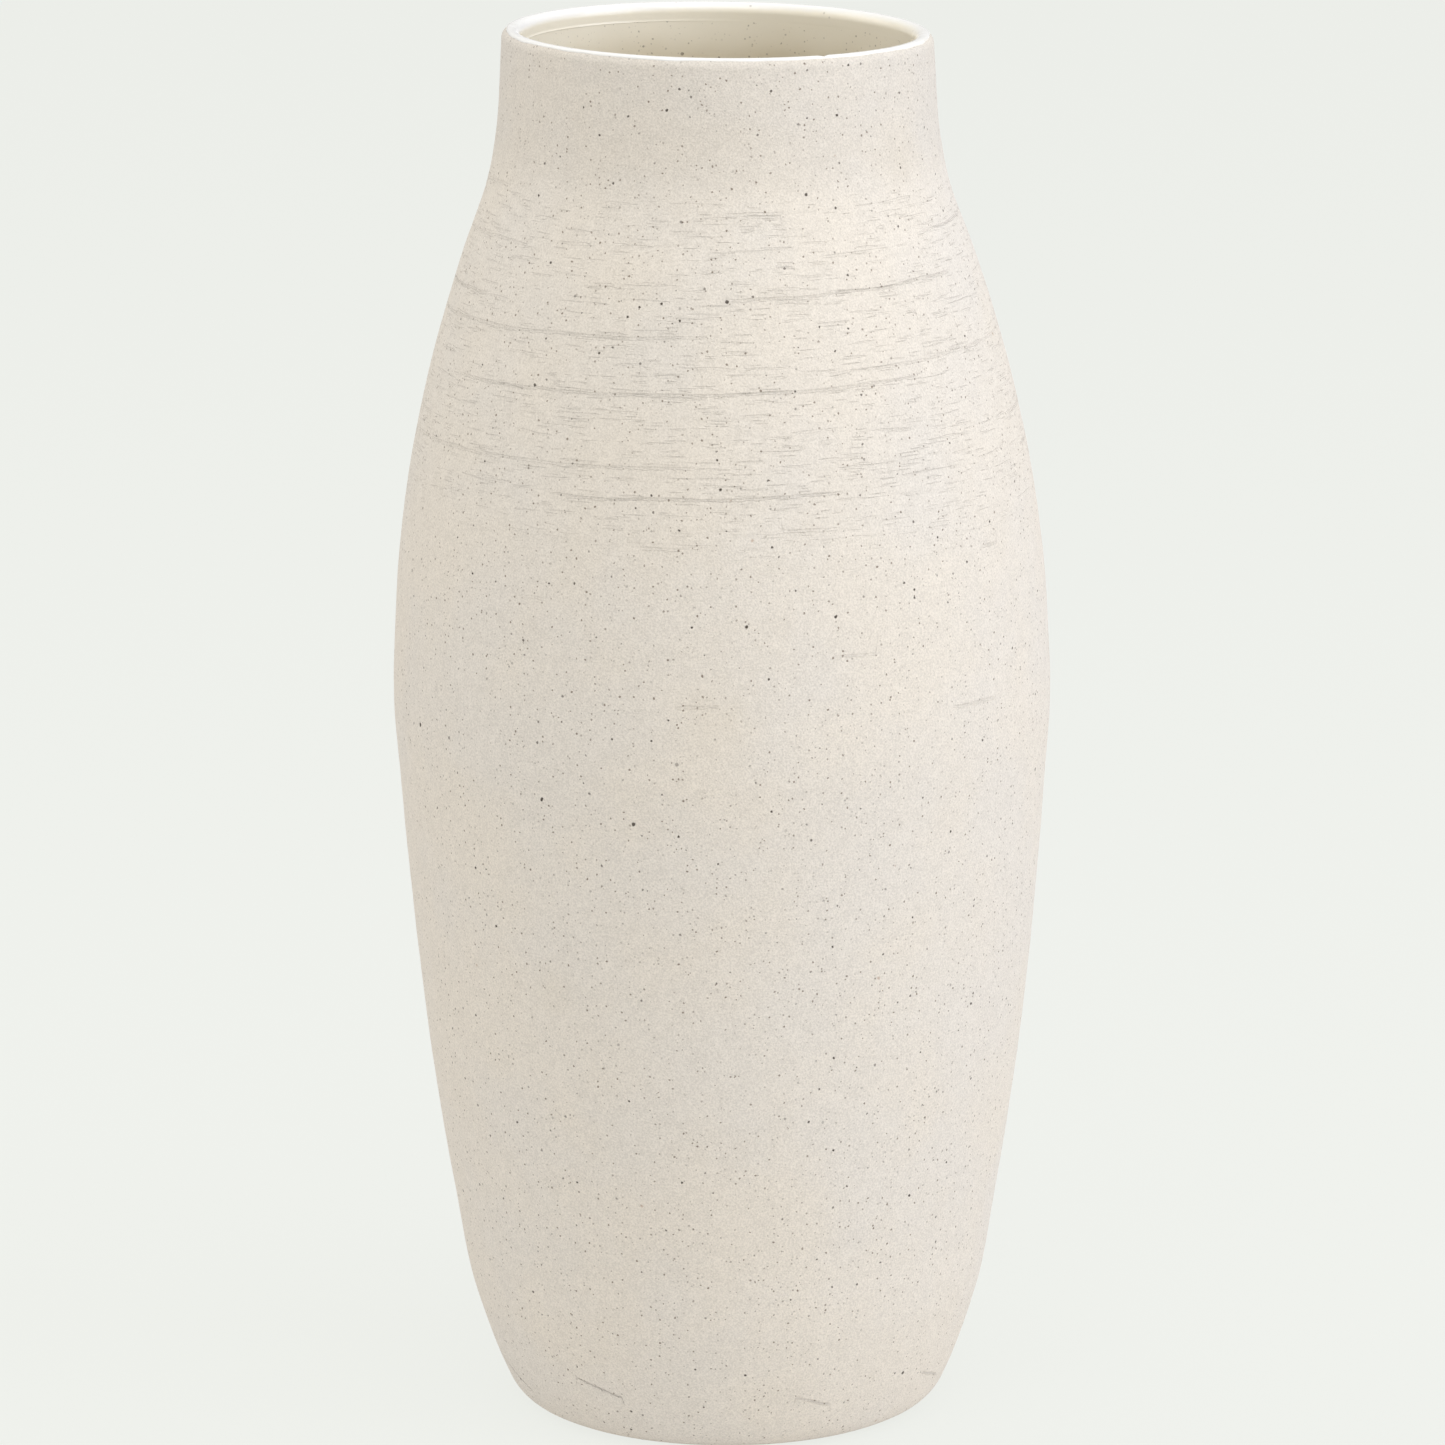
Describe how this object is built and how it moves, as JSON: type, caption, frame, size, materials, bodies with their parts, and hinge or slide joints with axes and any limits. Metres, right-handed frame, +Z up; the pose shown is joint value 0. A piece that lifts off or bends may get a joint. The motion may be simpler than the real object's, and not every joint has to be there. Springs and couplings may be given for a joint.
{
  "type": "stoneware vase",
  "caption": "Tall ovoid stoneware vase with a short straight neck, glazed inside and over the rounded lip, for cut stems or display.",
  "frame": {"origin": "centre of the foot, on the plane that it stands on", "axes": "+Z up along the axis that the vase is turned on; X and Y are alike, and -Y is the side with the most marked tooling"},
  "size_m": [0.1406, 0.1406, 0.3],
  "materials": {
    "stoneware": "matt pale grey-beige stoneware with iron speckle, smooth neck and belly, dragged tool marks on the shoulder",
    "joint_slip": "matt fired slip of the same clay",
    "liner_glaze": "glossy warm cream liner glaze with fine speckle",
    "lip_glaze": "glossy white glaze over the lip"
  },
  "bodies": {
    "root": {"floor_disc": "stoneware", "lower_wall": "stoneware", "shoulder_wall": "stoneware", "neck_collar": "stoneware", "floor_slip": "joint_slip", "belly_slip": "joint_slip", "neck_slip": "joint_slip", "liner_glaze": "liner_glaze", "lip_glaze": "lip_glaze"}
  },
  "joints": []
}
